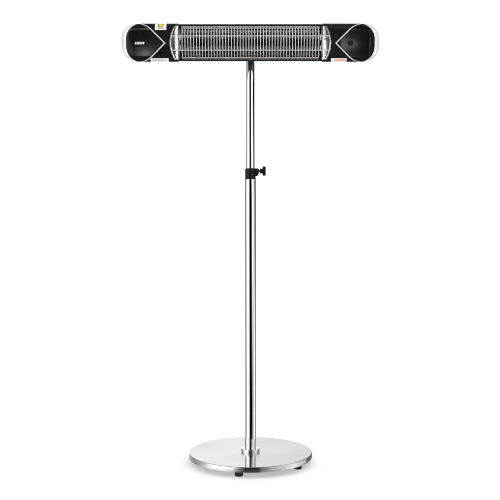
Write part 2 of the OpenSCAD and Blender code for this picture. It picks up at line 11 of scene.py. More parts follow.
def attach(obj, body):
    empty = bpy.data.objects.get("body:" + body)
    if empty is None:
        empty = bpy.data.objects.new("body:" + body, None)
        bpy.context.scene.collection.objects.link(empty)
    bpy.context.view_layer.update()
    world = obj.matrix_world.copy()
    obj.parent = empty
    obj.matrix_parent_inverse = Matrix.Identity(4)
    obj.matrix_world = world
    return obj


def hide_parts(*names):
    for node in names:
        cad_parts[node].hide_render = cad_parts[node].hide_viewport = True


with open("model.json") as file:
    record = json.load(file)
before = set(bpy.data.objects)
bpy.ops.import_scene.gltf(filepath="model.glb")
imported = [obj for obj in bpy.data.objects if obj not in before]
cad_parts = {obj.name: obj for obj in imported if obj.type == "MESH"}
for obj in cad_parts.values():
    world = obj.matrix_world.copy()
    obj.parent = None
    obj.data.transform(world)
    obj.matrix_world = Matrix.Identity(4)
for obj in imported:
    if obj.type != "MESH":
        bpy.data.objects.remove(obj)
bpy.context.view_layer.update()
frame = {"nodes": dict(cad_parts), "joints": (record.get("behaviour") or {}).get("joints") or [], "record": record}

# -------------------------------- frame of reference
# Shapes are written in millimetres. HEAD turns the head's own axes into the CAD frame:
# u to the right, v to the back, w up, from the middle of the head.

MM = 0.001
WORLD = Matrix.Scale(MM, 4)
NODES = frame["nodes"]
JOINTS = {joint["name"]: joint for joint in frame["joints"]}
SLOTS = {part["node"]: part["material_slot"] for part in frame["record"]["subparts"]}


def head_axes():
    """Matrix from the head's axes, with the tilt pivot as their origin, to the CAD frame."""
    back = Vector(JOINTS["power_button_press"]["axis"]).normalized()
    right = Vector((1, 0, 0))
    axes = Matrix((right, back, right.cross(back))).transposed().to_4x4()
    return Matrix.Translation(Vector(JOINTS["head_tilt"]["pos_m"])) @ axes


def box_in(matrix, *nodes):
    """Lowest and highest corner of some CAD nodes in a matrix's axes, in millimetres."""
    inverse = np.array(matrix.inverted())
    points = np.array([v.co for n in nodes for v in NODES[n].data.vertices])
    points = (points @ inverse[:3, :3].T + inverse[:3, 3]) / MM
    return points.min(0), points.max(0)


PIVOT = head_axes()
shell_low, shell_high = box_in(PIVOT, "end_cap_left", "end_cap_right")
middle = Vector((0, (shell_low[1] + shell_high[1]) / 2, (shell_low[2] + shell_high[2]) / 2))
HEAD = PIVOT @ Matrix.Translation(middle * MM) @ Matrix.Scale(MM, 4)


def head_box(*nodes):
    return box_in(HEAD @ Matrix.Scale(1 / MM, 4), *nodes)


def world_box(*nodes):
    return box_in(Matrix.Identity(4), *nodes)


# -------------------------------- mesh helpers
# A shape is a list of points and a list of faces.


def new_object(name, data):
    obj = bpy.data.objects.new(name, data)
    bpy.context.scene.collection.objects.link(obj)
    return obj


def piece(name, body, slot, shape, matrix=WORLD, replaces=(), material=None, smooth=35, uv=False):
    """A mesh piece of a shape in millimetres, which rides on a body and stands for CAD nodes."""
    points, faces = shape
    mesh = bpy.data.meshes.new(name)
    mesh.from_pydata([matrix @ Vector(p) for p in points], [], faces)
    mesh.materials.append(MATERIALS[material or slot])
    obj = new_object(name, mesh)
    weld(mesh)
    if uv:
        paint_uv(mesh)
    mesh.polygons.foreach_set("use_smooth", [True] * len(mesh.polygons))
    mesh.set_sharp_from_angle(angle=math.radians(smooth))
    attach(obj, body)
    if replaces:
        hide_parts(*replaces)


def weld(mesh):
    """Joins doubled points, drops faces without area and turns all faces outwards."""
    bm = bmesh.new()
    bm.from_mesh(mesh)
    bmesh.ops.remove_doubles(bm, verts=bm.verts, dist=1e-6)
    bmesh.ops.dissolve_degenerate(bm, edges=bm.edges, dist=1e-7)
    loose = [v for v in bm.verts if not v.link_faces]
    bmesh.ops.delete(bm, geom=loose, context="VERTS")
    bmesh.ops.recalc_face_normals(bm, faces=bm.faces)
    bm.to_mesh(mesh)
    bm.free()


def paint_uv(mesh):
    """UV coordinates in metres: u runs to the back and v to the right."""
    layer = mesh.uv_layers.new(name="UVMap")
    for loop in mesh.loops:
        place = mesh.vertices[loop.vertex_index].co
        layer.data[loop.index].uv = (place.y, place.x)


def join_shapes(*shapes):
    """One shape from several."""
    points, faces = [], []
    for more_points, more_faces in shapes:
        start = len(points)
        points += list(more_points)
        faces += [[i + start for i in face] for face in more_faces]
    return points, faces


def loft(rings, capped=True):
    """Skin over rings of equally many points."""
    count = len(rings[0])
    points = [p for ring in rings for p in ring]
    faces = []
    for start in range(0, len(points) - count, count):
        for j in range(count):
            k = (j + 1) % count
            faces.append([start + j, start + k, start + count + k, start + count + j])
    if capped:
        faces.append(list(range(count))[::-1])
        faces.append([len(points) - count + j for j in range(count)])
    return points, faces


def cut(shape, tool):
    """Takes one closed mesh out of another."""
    objects = []
    for points, faces in (shape, tool):
        mesh = bpy.data.meshes.new("cut")
        mesh.from_pydata(points, [], faces)
        weld(mesh)
        objects.append(new_object("cut", mesh))
    change = objects[0].modifiers.new("cut", "BOOLEAN")
    change.operation, change.solver, change.object = "DIFFERENCE", "EXACT", objects[1]
    made = objects[0].evaluated_get(bpy.context.evaluated_depsgraph_get())
    mesh = made.to_mesh()
    result = [tuple(v.co) for v in mesh.vertices], [list(f.vertices) for f in mesh.polygons]
    made.to_mesh_clear()
    for obj in objects:
        mesh = obj.data
        bpy.data.objects.remove(obj)
        bpy.data.meshes.remove(mesh)
    return result


def rounded(corners, steps=6):
    """Outline with arcs at its corners. A corner is (a, b) or (a, b, radius)."""
    result = []
    count = len(corners)
    for i, corner in enumerate(corners):
        here = Vector(corner[:2])
        if len(corner) < 3:
            result.append(here)
            continue
        before = (Vector(corners[i - 1][:2]) - here).normalized()
        after = (Vector(corners[(i + 1) % count][:2]) - here).normalized()
        half = before.angle(after) / 2
        centre = here + (before + after).normalized() * corner[2] / math.sin(half)
        start = here + before * corner[2] / math.tan(half) - centre
        end = here + after * corner[2] / math.tan(half) - centre
        sweep = start.angle_signed(end)
        for step in range(steps + 1):
            turn = Matrix.Rotation(-sweep * step / steps, 2)
            result.append(centre + turn @ start)
    return result


def circle(radius, count):
    angles = [2 * math.pi * i / count for i in range(count)]
    return [(radius * math.cos(angle), radius * math.sin(angle)) for angle in angles]


def lathe(profile, segments):
    """Closed profile of (radius, z) turned about Z."""
    rings = [[(r * x, r * y, z) for r, z in profile] for x, y in circle(1, segments)]
    return loft(rings + rings[:1], capped=False)


def tube(path, radius, sides):
    """Round rod along a list of points."""
    path = [Vector(p) for p in path]
    rings, normal = [], None
    for i, point in enumerate(path):
        along = (path[min(i + 1, len(path) - 1)] - path[max(i - 1, 0)]).normalized()
        if normal is None:
            normal = along.orthogonal().normalized()
        normal = (normal - along * normal.dot(along)).normalized()
        other = along.cross(normal)
        rings.append([point + radius * (normal * x + other * y) for x, y in circle(1, sides)])
    return loft(rings)


# -------------------------------- materials

MATERIALS = {}


class Graph:
    """Short calls that add nodes to a node tree."""

    def __init__(self, tree):
        self.tree = tree

    def node(self, kind, values=(), **settings):
        """Adds a node. Its values, by socket, are constants or the outputs of other nodes."""
        made = self.tree.nodes.new(kind)
        for key, value in settings.items():
            setattr(made, key, value)
        for key, value in dict(values).items():
            if isinstance(value, bpy.types.NodeSocket):
                self.tree.links.new(value, made.inputs[key])
            else:
                made.inputs[key].default_value = value
        return made

    def between(self, value, low, high, start, end, kind="LINEAR"):
        """Maps a value from the range start..end to low..high."""
        values = {"Value": value, "From Min": start, "From Max": end, "To Min": low, "To Max": high}
        return self.node("ShaderNodeMapRange", values, interpolation_type=kind).outputs["Result"]

    def mix(self, share, first, second):
        return self.node("ShaderNodeMix", {0: share, 6: first, 7: second}, data_type="RGBA").outputs[2]


class Shader(Graph):
    """A material with a Principled shader, whose sockets have constants or textures.

    A texture is the scale, detail, stretch and roughness of a noise, or (scale, None) for cells.
    """

    def __init__(self, name, **sockets):
        material = MATERIALS[name] = bpy.data.materials.new(name)
        material.use_nodes = True
        super().__init__(material.node_tree)
        self.bsdf = self.tree.nodes["Principled BSDF"]
        for key, value in sockets.items():
            self.bsdf.inputs[key.replace("_", " ")].default_value = value
        self.place = self.node("ShaderNodeTexCoord").outputs["Object"]

    def feed(self, socket, source):
        self.tree.links.new(source, self.bsdf.inputs[socket])

    def texture(self, scale, detail=3.0, stretch=(1, 1, 1), rough=0.5):
        place = self.node("ShaderNodeMapping", {"Vector": self.place, "Scale": stretch}).outputs["Vector"]
        values = {"Vector": place, "Scale": scale}
        if detail is None:
            return self.node("ShaderNodeTexVoronoi", values).outputs["Distance"]
        return self.node("ShaderNodeTexNoise", values | {"Detail": detail, "Roughness": rough}).outputs["Fac"]

    def colour(self, texture, dark, light, start=0.3, end=0.7):
        share = self.between(self.texture(*texture), 0, 1, start, end)
        self.feed("Base Color", self.mix(share, (*dark, 1), (*light, 1)))

    def rough(self, texture, low, high):
        self.feed("Roughness", self.between(self.texture(*texture), low, high, 0.3, 0.7))

    def bump(self, texture, strength, distance):
        values = {"Height": self.texture(*texture), "Strength": strength, "Distance": distance}
        self.feed("Normal", self.node("ShaderNodeBump", values).outputs["Normal"])


def surface(name, colour, rough, bump, **sockets):
    """A material with textured colour, roughness and relief, each given as its call's values."""
    shader = Shader(name, **sockets)
    shader.colour(*colour)
    shader.rough(*rough)
    shader.bump(*bump)
    return shader


def brushed(shader, **direction):
    """Turns the sheen of a brushed metal along its lines."""
    shader.feed("Tangent", shader.node("ShaderNodeTangent", **direction).outputs["Tangent"])


def painted(name, dark, light, rough, grain=900, strength=0.12, specular=0.5):
    """Powder coat or moulded plastic with a fine grain and faint rubbed patches."""
    surface(name, ((26, 5), dark, light, 0.35, 0.75), ((14, 4), rough - 0.05, rough + 0.06),
            ((grain, 3), strength, 0.00006), Specular_IOR_Level=specular)


def plated_wire(name, dark, light, metal):
    surface(name, ((60, 4), dark, light), ((120, 3), 0.14, 0.26), ((300, 2), 0.05, 0.0001), Metallic=metal)


def hammered(name, dark, light, low, high, metal=1.0):
    surface(name, ((40, 4), dark, light), ((70, 3), low, high), ((500, 2), 0.05, 0.00005), Metallic=metal)


def nylon(name, dark, light):
    surface(name, ((50, 4), dark, light), ((40, 3), 0.38, 0.55), ((900, 3), 0.1, 0.00005),
            Subsurface_Weight=0.05)


def film(name, dark, light):
    surface(name, ((60, 3), dark, light), ((40, 3), 0.3, 0.42), ((300, 3), 0.04, 0.00005),
            Specular_IOR_Level=0.4)


def brushed_disc():
    shader = Shader("brushed_disc", Metallic=1.0, Anisotropic=1.0)
    shader.colour((18, 6, (1, 55, 1), 0.6), (0.84, 0.83, 0.83), (0.92, 0.905, 0.905), 0.35, 0.65)
    shader.rough((5,), 0.15, 0.19)
    shader.bump((60, 4, (0.15, 60, 1)), 0.05, 0.00003)
    brushed(shader, direction_type="UV_MAP", uv_map="UVMap")


def brushed_rim():
    shader = Shader("brushed_rim", Metallic=1.0, Anisotropic=1.0, Anisotropic_Rotation=0.25)
    shader.colour((30, 4, (1, 1, 60)), (0.8, 0.8, 0.8), (0.9, 0.9, 0.9))
    shader.rough((8,), 0.15, 0.19)
    brushed(shader, direction_type="RADIAL", axis="Z")


def board_green():
    shader = Shader("board_green", Coat_Weight=0.4)
    tracks = {"Vector": shader.place, "Scale": 220, "Color1": (0.02, 0.13, 0.05, 1),
              "Color2": (0.03, 0.17, 0.07, 1), "Mortar": (0.3, 0.28, 0.12, 1)}
    shader.feed("Base Color", shader.node("ShaderNodeTexBrick", tracks).outputs["Color"])
    shader.rough((60, 3), 0.24, 0.38)
    shader.bump((500, 3), 0.1, 0.00005)


brushed_disc()
brushed_rim()
board_green()
surface("chrome_tube", ((3,), (0.89, 0.89, 0.895), (0.92, 0.92, 0.925)),
        ((40, 5, (1, 1, 0.05)), 0.03, 0.06), ((14, 2, (1, 1, 0.2)), 0.02, 0.0001), Metallic=1.0)
surface("zinc_steel", ((260, None), (0.52, 0.52, 0.5), (0.68, 0.68, 0.66), 0.1, 0.6), ((300,), 0.28, 0.42),
        ((900, 2), 0.08, 0.00005), Metallic=1.0)
surface("silver_shell", ((2600, None), (0.83, 0.83, 0.835), (0.9, 0.9, 0.905), 0.1, 0.6),
        ((20, 3), 0.2, 0.28), ((1800, 2), 0.03, 0.00004), Metallic=0.25, Coat_Weight=0.5, Coat_Roughness=0.08)
surface("insert_black", ((40, 4), (0.003, 0.0032, 0.0036), (0.006, 0.0062, 0.007)), ((12, 4), 0.18, 0.22),
        ((1500, 3), 0.08, 0.00005), Specular_IOR_Level=0.35)
surface("foot_rubber", ((120, 4), (0.009, 0.009, 0.009), (0.022, 0.021, 0.02)), ((80, 3), 0.65, 0.85),
        ((700, 4), 0.3, 0.0001))
surface("cast_weight", ((60, 6), (0.07, 0.07, 0.075), (0.16, 0.15, 0.15)), ((90, 4), 0.65, 0.9),
        ((180, 6, (1, 1, 1), 0.7), 0.7, 0.0006), Metallic=0.4)
surface("brass", ((90, 4), (0.66, 0.46, 0.2), (0.8, 0.6, 0.3)), ((160, 3), 0.2, 0.38),
        ((400, 2, (8, 1, 1)), 0.1, 0.00005), Metallic=1.0)
surface("shield_steel", ((30, 5, (1, 12, 1)), (0.54, 0.54, 0.54), (0.66, 0.66, 0.66)), ((20, 3), 0.34, 0.48),
        ((300, 3, (1, 8, 1)), 0.06, 0.00005), Metallic=1.0)
surface("quartz", ((20, 3, (0.3, 1, 1)), (0.93, 0.95, 0.96), (0.99, 0.99, 0.99)),
        ((50, 3, (0.1, 1, 1)), 0.02, 0.06), ((60, 2, (0.1, 1, 1)), 0.02, 0.0001), Transmission_Weight=1.0,
        IOR=1.45)
surface("filament", ((200, 3), (0.16, 0.12, 0.1), (0.34, 0.26, 0.2)), ((300, 3), 0.35, 0.55),
        ((900, 2), 0.1, 0.00003), Metallic=1.0)
surface("ceramic_white", ((70, 5), (0.74, 0.71, 0.63), (0.86, 0.84, 0.78)), ((50, 3), 0.5, 0.7),
        ((800, 3), 0.15, 0.00008))
surface("badge_metal", ((40, 5, (1, 30, 30)), (0.72, 0.72, 0.73), (0.86, 0.86, 0.87)), ((60, 3), 0.2, 0.32),
        ((500, 3, (0.1, 8, 8)), 0.1, 0.00003), Metallic=1.0)
painted("black_sheet", (0.01, 0.01, 0.011), (0.02, 0.02, 0.022), 0.45)
painted("black_plastic", (0.006, 0.006, 0.0065), (0.012, 0.012, 0.013), 0.36, 700, 0.2, 0.2)
painted("head_black", (0.006, 0.0063, 0.007), (0.011, 0.0113, 0.0125), 0.32, specular=0.3)
painted("button_dark", (0.006, 0.006, 0.0065), (0.012, 0.012, 0.013), 0.4, 1200, 0.2)
nylon("grey_nylon", (0.14, 0.14, 0.145), (0.2, 0.2, 0.21))
nylon("terminal_ivory", (0.6, 0.56, 0.46), (0.72, 0.68, 0.58))
film("badge_mark", (0.82, 0.82, 0.83), (0.94, 0.94, 0.95))
film("label_film", (0.86, 0.86, 0.86), (0.93, 0.93, 0.93))
film("label_yellow", (0.62, 0.55, 0.05), (0.72, 0.64, 0.08))
film("label_red", (0.75, 0.2, 0.1), (0.82, 0.28, 0.16))
film("label_grey", (0.3, 0.3, 0.31), (0.4, 0.4, 0.41))
film("label_pink", (0.5, 0.42, 0.4), (0.6, 0.5, 0.48))
# One hammered aluminium in two copies: the trough's copy is dark and brownish, and the D ends take a lighter,
# partly diffuse copy, which is painted light on the ends.
hammered("reflector_alu", (0.24, 0.19, 0.17), (0.36, 0.31, 0.28), 0.06, 0.14)
hammered("reflector_end_alu_painted_light", (0.7, 0.65, 0.62), (0.86, 0.84, 0.82), 0.04, 0.1, 0.9)
plated_wire("wire_chrome", (0.8, 0.77, 0.75), (0.95, 0.93, 0.92), 0.6)
# A lighter, mostly diffuse copy of the wire plating for the grille's bars, so that they look bright all round:
# painted highlight.
plated_wire("bar_chrome_painted_highlight", (0.9, 0.89, 0.88), (0.98, 0.98, 0.97), 0.25)

# The grille's bars take the lighter copy of the plating, a painted highlight; every other node keeps its slot's
# material.
for node, slot in SLOTS.items():
    NODES[node].data.materials.clear()
    NODES[node].data.materials.append(MATERIALS["bar_chrome_painted_highlight" if node == "grille_bars" else slot])

# -------------------------------- base


def base_disc():
    """Disc cover, drawn as its brushed top and its rolled rim."""
    low, high = world_box("base_cover")
    radius, bottom, top = high[1], low[2], high[2]
    wall, edge, hole = 2.0, 3.0, 6.5
    turn = radius - edge
    top_profile = [(hole, top), (turn, top), (turn, top - wall), (hole, top - wall)]
    rim_profile = rounded([(turn, top), (radius, top, edge), (radius, bottom, 0.6),
                           (radius - wall, bottom, 0.6), (radius - wall, top - wall), (turn, top - wall)], 8)
    piece("base_disc_top", "stand", "brushed_disc", lathe(top_profile, 192), replaces=["base_cover"], uv=True)
    piece("base_disc_rim", "stand", "brushed_disc", lathe(rim_profile, 192), material="brushed_rim", uv=True)


def foot(index):
    """Rubber foot with a flared heel, two grooves and a screw recess."""
    node = f"foot_{index}"
    low, high = world_box(node)
    centre = (low + high) / 2
    radius, height = (high[0] - low[0]) / 2, high[2]
    profile = rounded([(0, 7), (5.5, 7), (5.5, 0.6), (radius - 2.2, 0, 1.2), (radius - 0.9, 2.4, 1.2),
                       (radius - 0.6, 6.0), (radius - 1.2, 6.5), (radius - 1.2, 7.3), (radius - 0.5, 7.8),
                       (radius, height - 1.2, 0.8), (radius - 0.6, height), (0, height)], 4)
    place = WORLD @ Matrix.Translation((centre[0], centre[1], 0))
    piece(f"rubber_{node}", "stand", "foot_rubber", lathe(profile, 64), place, [node])


def base_ring():
    """Chromed ring: a low flange, a waist and a rounded shoulder."""
    low, high = world_box("base_ring")
    tube_r = world_box("lower_tube")[1][0]
    radius, bottom, top = high[0], low[2], high[2]
    profile = rounded([(tube_r + 0.1, bottom), (radius - 1.6, bottom, 0.4), (radius - 1.6, bottom + 2.6, 0.4),
                       (radius - 2.6, bottom + 3.0, 0.3), (radius - 2.6, bottom + 3.8, 0.3),
                       (radius, bottom + 4.4, 0.7), (radius, top, 1.4), (tube_r + 0.8, top, 0.5),
                       (tube_r + 0.1, top - 0.8)], 8)
    piece("mast_ring", "stand", "chrome_tube", lathe(profile, 128), replaces=["base_ring"])


base_disc()
for number in range(1, 6):
    foot(number)
base_ring()

# -------------------------------- mast


def pipe(node, body):
    """Drawn tube with rolled edges. A ring of points near each end keeps the edge's turn short."""
    low, high = world_box(node)
    radius, wall, support = high[0], 1.5, 1.5
    profile = rounded([(radius - wall, low[2], 0.4), (radius, low[2], 0.6), (radius, low[2] + support),
                       (radius, high[2] - support), (radius, high[2], 0.6), (radius - wall, high[2], 0.4)], 4)
    piece(f"{node}_chrome", body, "chrome_tube", lathe(profile, 96), replaces=[node])


def collar_boss(x0, x1, half_w, z_top, z_foot, z_low):
    """Boss of the collar: flat top, round nose and a bowed underside, with soft edges."""
    side = [(x0, z_top), (x1 - 3, z_top), (x1, z_top - 3.5), (x1, z_foot)]
    bow_steps, bow_x = 8, 19.5
    for k in range(1, bow_steps + 1):
        angle = math.pi / 2 * k / bow_steps
        side.append((x1 - (x1 - bow_x) * (1 - math.cos(angle)), z_foot - (z_foot - z_low) * math.sin(angle)))
    side.append((x0, z_low))
    middle_z = (z_top + z_low) / 2
    rings = []
    for y, inset in ((-half_w, 1.4), (-half_w + 0.4, 0.6), (-half_w + 1.4, 0), (half_w - 1.4, 0),
                     (half_w - 0.4, 0.6), (half_w, 1.4)):
        ring = []
        for x, z in side:
            dx = inset if x > x0 + 1 else 0
            dz = inset * (1 if z < middle_z else -1) * min(1, abs(z - middle_z) / 6)
            ring.append((x - dx, y, z + dz))
        rings.append(ring)
    return loft(rings)


def collar():
    """Clamping collar: waisted body with a lip at its foot, a bore and the boss for the stud."""
    low, high = world_box("collar")
    outer, _, foot_z = world_box("lower_tube")[1]
    top = high[2]
    bore, spigot = world_box("upper_tube")[1][0] + 0.2, outer - 1.7
    body = rounded([(bore, low[2]), (spigot, low[2], 0.5), (spigot, foot_z - 0.01),
                    (outer + 0.1, foot_z, 0.3), (outer + 0.1, foot_z + 3.6, 0.6),
                    (outer - 0.7, foot_z + 4.4, 0.4), (outer - 0.2, top, 4.2), (bore + 0.4, top, 0.6),
                    (bore, top - 1)])
    boss = collar_boss(16, high[0], min(high[1], 11), top - 0.2, top - 14, top - 27.5)
    pad_low, pad_high = world_box("clamp_pad")
    pad_z = (pad_low[2] + pad_high[2]) / 2
    pad_bore = float(pad_high[2] - pad_low[2]) / 2 + 0.25
    drill = tube([(12, 0, pad_z), (high[0] + 2, 0, pad_z)], pad_bore, 48)
    piece("collar_body", "stand", "black_plastic", cut(lathe(body, 128), drill), replaces=["collar"])
    piece("collar_boss", "stand", "black_plastic", cut(boss, drill))


def lobed(d, lobes, inset, count):
    """Outline of a hand knob with round lobes, as a smooth ring."""
    ring = []
    for i in range(count):
        angle = 2 * math.pi * i / count
        wave = 0.5 + 0.5 * math.cos(lobes * angle)
        radius = d / 2 - inset - 0.1 * d * (1 - wave ** 0.7)
        ring.append((radius * math.cos(angle), radius * math.sin(angle)))
    return ring


def knob(name, node, lobes, place):
    """Hand knob along +X with its axis at a place: a flared hub and a lobed, domed grip."""
    low, high = box_in(place @ Matrix.Scale(1 / MM, 4), node)
    length, d = high[0] - low[0], high[1] - low[1]
    # Places along the axis with how far the outline is set in, or the dimple's share of the width.
    count, flare = 168, 10.0
    hub = [(0.0, 0.8), (0.5, 0.2), (1.4, 0), (2.6, 0.4), (4.0, 1.6), (6.0, 2.2), (8.0, 1.2), (9.2, 0)]
    grip = [(9.25, 2.2), (9.35, 0.8), (9.7, 0.2), (10.3, 0), (length - 2.6, 0), (length - 1.2, 0.25),
            (length - 0.5, 0.8), (length - 0.1, 1.7), (length - 0.02, 3.4)]
    dimple = [(length, 0.25), (length - 0.1, 0.235), (length - 0.7, 0.22)]
    outlines = [(x, circle(flare - inset, count)) for x, inset in hub]
    outlines += [(x, lobed(d, lobes, inset, count)) for x, inset in grip]
    outlines += [(x, circle(d * share, count)) for x, share in dimple]
    shape = loft([[(x, y, z) for y, z in outline] for x, outline in outlines])
    piece(name, node, "black_plastic", shape, place @ Matrix.Translation((low[0], 0, 0)), [node])


pipe("lower_tube", "stand")
pipe("upper_tube", "mast")
collar()
knob_low, knob_high = world_box("clamp_knob")
knob_axis = Matrix.Translation((0, 0, (knob_low[2] + knob_high[2]) / 2))
knob("clamp_hand_knob", "clamp_knob", 7, WORLD @ knob_axis)
knob("tilt_hand_knob", "tilt_knob", 6, PIVOT @ WORLD)

# -------------------------------- head surface
# The head's outer surface is unrolled: a runs along the head from its middle, and over the
# dome of its end, and s runs round its cross-section from the middle of the back.

HALF_LEN = shell_high[0]
HALF_D, HALF_H = (shell_high[1] - shell_low[1]) / 2, (shell_high[2] - shell_low[2]) / 2
FRONT_R, REAR_R, END_R, PLAN_R = 20.0, 30.0, 58.0, 40.0
QUARTER = math.pi / 2
FRONT_FLAT, REAR_FLAT = HALF_H - FRONT_R, HALF_H - REAR_R
TOP_FLAT = 2 * HALF_D - FRONT_R - REAR_R
FRONT_MID = REAR_FLAT + QUARTER * REAR_R + TOP_FLAT + QUARTER * FRONT_R + FRONT_FLAT
ROUND = 2 * FRONT_MID
DOME_U = HALF_LEN - END_R
DOME_END = DOME_U + QUARTER * END_R
TIP, DROP_R, CAP_U = head_box("end_cap_right")[0][0], HALF_H, 370.0
RIM_W = head_box("insert_right")[0][0] - TIP - 0.15
DROP_C = TIP + DROP_R * math.sqrt(2)
SCREW_V, SCREW_W = 5.0, HALF_H - 7.5
DISH_U, DISH_DEPTH = 366.0, 3.0


def pairs(points):
    return np.array(points, float).reshape(-1, 2)


def cross_section(s):
    """Points (v, w) of the cross-section for an array of places s."""
    below = s > FRONT_MID
    t = np.where(below, ROUND - s, s)
    ends = np.cumsum([REAR_FLAT, QUARTER * REAR_R, TOP_FLAT, QUARTER * FRONT_R])
    rear = np.clip(t - ends[0], 0, QUARTER * REAR_R) / REAR_R
    front = np.clip(t - ends[2], 0, QUARTER * FRONT_R) / FRONT_R
    v = HALF_D - REAR_R * (1 - np.cos(rear)) - np.clip(t - ends[1], 0, TOP_FLAT) - FRONT_R * np.sin(front)
    w = np.clip(t, 0, REAR_FLAT) + REAR_R * np.sin(rear) - FRONT_R * (1 - np.cos(front))
    w -= np.clip(t - ends[3], 0, FRONT_FLAT)
    return v, np.where(below, -w, w)


def end_scale(a):
    """Distance u from the middle, and the shares of the section's depth and height there."""
    over = np.clip(a - DOME_U, 0, DOME_END - DOME_U) / END_R
    u = np.where(a > DOME_U, DOME_U + END_R * np.sin(over), a)
    height = (HALF_H - END_R * (1 - np.cos(over))) / HALF_H
    past = np.clip(u - (HALF_LEN - PLAN_R), 0, PLAN_R)
    depth = (HALF_D - PLAN_R + np.sqrt(PLAN_R ** 2 - past ** 2)) / HALF_D
    return u, depth, height


def shell_place(a, s):
    u, depth, height = end_scale(a)
    v, w = cross_section(np.mod(s, ROUND))
    return np.stack([u, v * depth, w * height], 1)


def shell(points, inward=0.0):
    """Maps unrolled points to the head's surface, set in by a distance along the normal."""
    a, s = pairs(points).T
    step = 0.05
    near = np.minimum(a, DOME_END - step)
    along = shell_place(near + step, s) - shell_place(near - step, s)
    across = shell_place(near, s + step) - shell_place(near, s - step)
    normal = np.cross(across, along)
    normal /= np.linalg.norm(normal, axis=1, keepdims=True)
    return shell_place(a, s) - normal * np.reshape(inward, (-1, 1))


def unroll(points):
    """Unrolled places of points (u, w) that are seen from the front."""
    result = []
    for u, w in points:
        over = math.asin(min(max((u - DOME_U) / END_R, 0), 1))
        left = (HALF_H - END_R * (1 - math.cos(over))) / HALF_H
        level = min(abs(w) / left, HALF_H)
        s = FRONT_MID - min(level, FRONT_FLAT)
        s -= FRONT_R * math.asin(min(max((level - FRONT_FLAT) / FRONT_R, 0), 1))
        result.append((DOME_U + END_R * over if u > DOME_U else u, s if w >= 0 else ROUND - s))
    return result


def place_round(v, w):
    """Place s of the point on the cross-section that is nearest."""
    trial = np.linspace(0, ROUND, 8001)
    near_v, near_w = cross_section(trial)
    return float(trial[np.argmin((near_v - v) ** 2 + (near_w - w) ** 2)])


# -------------------------------- panels


def arc(centre, radius, start, end, steps):
    """Points on an arc, with angles in degrees."""
    angles = np.radians(np.linspace(start, end, steps + 1))
    return [(centre[0] + radius * math.cos(t), centre[1] + radius * math.sin(t)) for t in angles]


def resample(loop, step):
    """The same closed outline with no side longer than a step and no doubled point."""
    result = []
    for i, point in enumerate(loop):
        here, after = np.array(point, float), np.array(loop[(i + 1) % len(loop)], float)
        span = np.linalg.norm(after - here)
        if span < 1e-3:
            continue
        parts = max(1, math.ceil(span / step))
        result += [tuple(here + (after - here) * k / parts) for k in range(parts)]
    return result


def area(loop):
    p = np.array(loop)
    q = np.roll(p, -1, axis=0)
    return float(np.sum(p[:, 0] * q[:, 1] - q[:, 0] * p[:, 1])) / 2


def inset(loop, distance, held=None):
    """The outline moved to its left by a distance. Held points stay on their line."""
    p = np.array(loop)
    before = p - np.roll(p, 1, axis=0)
    after = np.roll(p, -1, axis=0) - p
    before /= np.linalg.norm(before, axis=1, keepdims=True)
    after /= np.linalg.norm(after, axis=1, keepdims=True)
    left = np.stack([-before[:, 1], before[:, 0]], 1)
    shift = left + np.stack([-after[:, 1], after[:, 0]], 1)
    shift /= np.maximum(np.sum(shift * left, axis=1, keepdims=True), 0.35)
    if held:
        shift *= held(p)
    return [tuple(q) for q in p + shift * distance]


def inside(points, loops):
    """Whether each point lies between the outlines, by counting crossings."""
    first = np.array([p for loop in loops for p in loop], float)
    second = np.array([p for loop in loops for p in loop[1:] + loop[:1]], float)
    result = []
    for x, y in points:
        crossing = (first[:, 1] > y) != (second[:, 1] > y)
        rise = np.where(crossing, second[:, 1] - first[:, 1], 1)
        reach = first[:, 0] + (y - first[:, 1]) * (second[:, 0] - first[:, 0]) / rise
        result.append(np.count_nonzero(crossing & (reach > x)) % 2 == 1)
    return result


def fill(loops, spacing):
    """Triangles over a flat region between outlines, with a grid of points inside it."""
    rim = np.array([p for loop in loops for p in loop], float)
    edges, start = [], 0
    for loop in loops:
        edges += [(start + i, start + (i + 1) % len(loop)) for i in range(len(loop))]
        start += len(loop)
    low, high = rim.min(0), rim.max(0)
    grid = [(x, y) for x in np.arange(low[0] + spacing / 2, high[0], spacing)
            for y in np.arange(low[1] + spacing / 2, high[1], spacing)]
    keep = [p for p, kept in zip(grid, inside(grid, loops)) if kept]
    keep = [p for p in keep if np.min(np.hypot(rim[:, 0] - p[0], rim[:, 1] - p[1])) > spacing * 0.55]
    made = delaunay_2d_cdt([Vector(p) for p in rim] + [Vector(p) for p in keep], edges, [], 1, 1e-6)
    points = np.array([tuple(p) for p in made[0]])
    centres = [points[list(face)].mean(0) for face in made[2]]
    return points, [list(face) for face, kept in zip(made[2], inside(centres, loops)) if kept]


